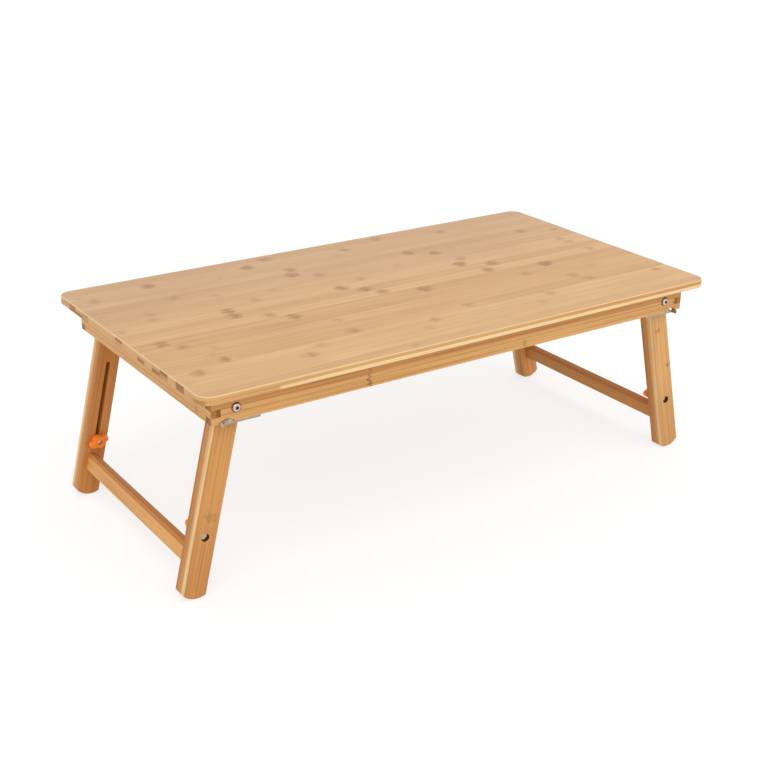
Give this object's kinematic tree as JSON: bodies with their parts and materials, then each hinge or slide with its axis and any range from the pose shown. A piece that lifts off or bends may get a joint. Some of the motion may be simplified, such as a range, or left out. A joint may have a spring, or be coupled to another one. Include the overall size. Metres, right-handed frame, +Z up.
{
  "type": "folding floor table",
  "caption": "Low folding floor table whose splayed legs fold inside the apron frame and slide longer under wing nuts.",
  "frame": {"origin": "on the floor under the centre of the tabletop", "axes": "+X along the tabletop's length to the right, +Y from its front edge to its back edge, +Z up"},
  "size_m": [0.8336, 0.431, 0.2785],
  "materials": {
    "bamboo_top": "satin lacquered carbonised bamboo, strips along the length",
    "bamboo_frame": "satin lacquered carbonised bamboo, grain along each rail",
    "bamboo_legs": "satin lacquered carbonised bamboo, grain down each leg",
    "dowel_wood": "plain hardwood dowel",
    "nickel_plate": "bright nickel plate on steel",
    "spring_steel": "plated spring steel",
    "plated_screw": "zinc plated steel",
    "orange_plastic": "moulded orange plastic with a soft shine",
    "brass_insert": "knurled brass threaded insert"
  },
  "bodies": {
    "frame": {"tabletop": "bamboo_top", "front_long_apron": "bamboo_frame", "back_long_apron": "bamboo_frame", "left_end_apron": "bamboo_frame", "right_end_apron": "bamboo_frame", "top_dowels": "dowel_wood", "pivot_sleeve_nuts": "nickel_plate", "pivot_washers": "nickel_plate", "latch_screws": "plated_screw", "left_front_pivot_bolt": "nickel_plate", "left_back_pivot_bolt": "nickel_plate", "right_front_pivot_bolt": "nickel_plate", "right_back_pivot_bolt": "nickel_plate"},
    "left_upper_legs": {"left_front_upper_leg": "bamboo_legs", "left_back_upper_leg": "bamboo_legs", "left_clamp_bolts": "nickel_plate", "left_clamp_washers": "nickel_plate"},
    "left_lower_legs": {"left_front_lower_leg": "bamboo_legs", "left_back_lower_leg": "bamboo_legs", "left_crossbar": "bamboo_legs", "left_crossbar_screws": "plated_screw"},
    "right_upper_legs": {"right_front_upper_leg": "bamboo_legs", "right_back_upper_leg": "bamboo_legs", "right_clamp_bolts": "nickel_plate", "right_clamp_washers": "nickel_plate"},
    "right_lower_legs": {"right_front_lower_leg": "bamboo_legs", "right_back_lower_leg": "bamboo_legs", "right_crossbar": "bamboo_legs", "right_crossbar_screws": "plated_screw"},
    "left_front_nut": {"left_front_wing_nut": "orange_plastic", "left_front_wing_nut_insert": "brass_insert"},
    "left_front_latch": {"left_front_latch_spring": "spring_steel", "left_front_latch_pin": "nickel_plate"},
    "left_back_nut": {"left_back_wing_nut": "orange_plastic", "left_back_wing_nut_insert": "brass_insert"},
    "left_back_latch": {"left_back_latch_spring": "spring_steel", "left_back_latch_pin": "nickel_plate"},
    "right_front_nut": {"right_front_wing_nut": "orange_plastic", "right_front_wing_nut_insert": "brass_insert"},
    "right_front_latch": {"right_front_latch_spring": "spring_steel", "right_front_latch_pin": "nickel_plate"},
    "right_back_nut": {"right_back_wing_nut": "orange_plastic", "right_back_wing_nut_insert": "brass_insert"},
    "right_back_latch": {"right_back_latch_spring": "spring_steel", "right_back_latch_pin": "nickel_plate"}
  },
  "joints": [
    {"name": "left_legs_fold", "type": "hinge", "parent": "frame", "child": "left_upper_legs", "pos_m": [-0.34465, 0, 0.2471], "axis": [0, -1, 0], "range_deg": [0, 103.3]},
    {"name": "left_legs_extend", "type": "slide", "parent": "left_upper_legs", "child": "left_lower_legs", "axis": [0.23, 0, 0.9732], "range_m": [-0.11, 0]},
    {"name": "right_legs_fold", "type": "hinge", "parent": "frame", "child": "right_upper_legs", "pos_m": [0.34465, 0, 0.2471], "axis": [0, 1, 0], "range_deg": [0, 103.3]},
    {"name": "right_legs_extend", "type": "slide", "parent": "right_upper_legs", "child": "right_lower_legs", "axis": [-0.23, 0, 0.9732], "range_m": [-0.11, 0]},
    {"name": "left_front_nut_turn", "type": "hinge", "parent": "left_upper_legs", "child": "left_front_nut", "pos_m": [-0.3841, -0.1456, 0.0802], "axis": [0, 1, 0], "continuous": true},
    {"name": "left_front_latch_spring_back", "type": "hinge", "parent": "frame", "child": "left_front_latch", "pos_m": [-0.3175, -0.1841, 0.2295], "axis": [0, 0, 1], "range_deg": [0, 8], "stiffness_Nm_per_rad": 0.8, "springref_deg": -5.73},
    {"name": "left_back_nut_turn", "type": "hinge", "parent": "left_upper_legs", "child": "left_back_nut", "pos_m": [-0.3841, 0.1456, 0.0802], "axis": [0, 1, 0], "continuous": true},
    {"name": "left_back_latch_spring_back", "type": "hinge", "parent": "frame", "child": "left_back_latch", "pos_m": [-0.3175, 0.1841, 0.2295], "axis": [0, 0, -1], "range_deg": [0, 8], "stiffness_Nm_per_rad": 0.8, "springref_deg": -5.73},
    {"name": "right_front_nut_turn", "type": "hinge", "parent": "right_upper_legs", "child": "right_front_nut", "pos_m": [0.3841, -0.1456, 0.0802], "axis": [0, 1, 0], "continuous": true},
    {"name": "right_front_latch_spring_back", "type": "hinge", "parent": "frame", "child": "right_front_latch", "pos_m": [0.3175, -0.1841, 0.2295], "axis": [0, 0, -1], "range_deg": [0, 8], "stiffness_Nm_per_rad": 0.8, "springref_deg": -5.73},
    {"name": "right_back_nut_turn", "type": "hinge", "parent": "right_upper_legs", "child": "right_back_nut", "pos_m": [0.3841, 0.1456, 0.0802], "axis": [0, 1, 0], "continuous": true},
    {"name": "right_back_latch_spring_back", "type": "hinge", "parent": "frame", "child": "right_back_latch", "pos_m": [0.3175, 0.1841, 0.2295], "axis": [0, 0, 1], "range_deg": [0, 8], "stiffness_Nm_per_rad": 0.8, "springref_deg": -5.73}
  ]
}
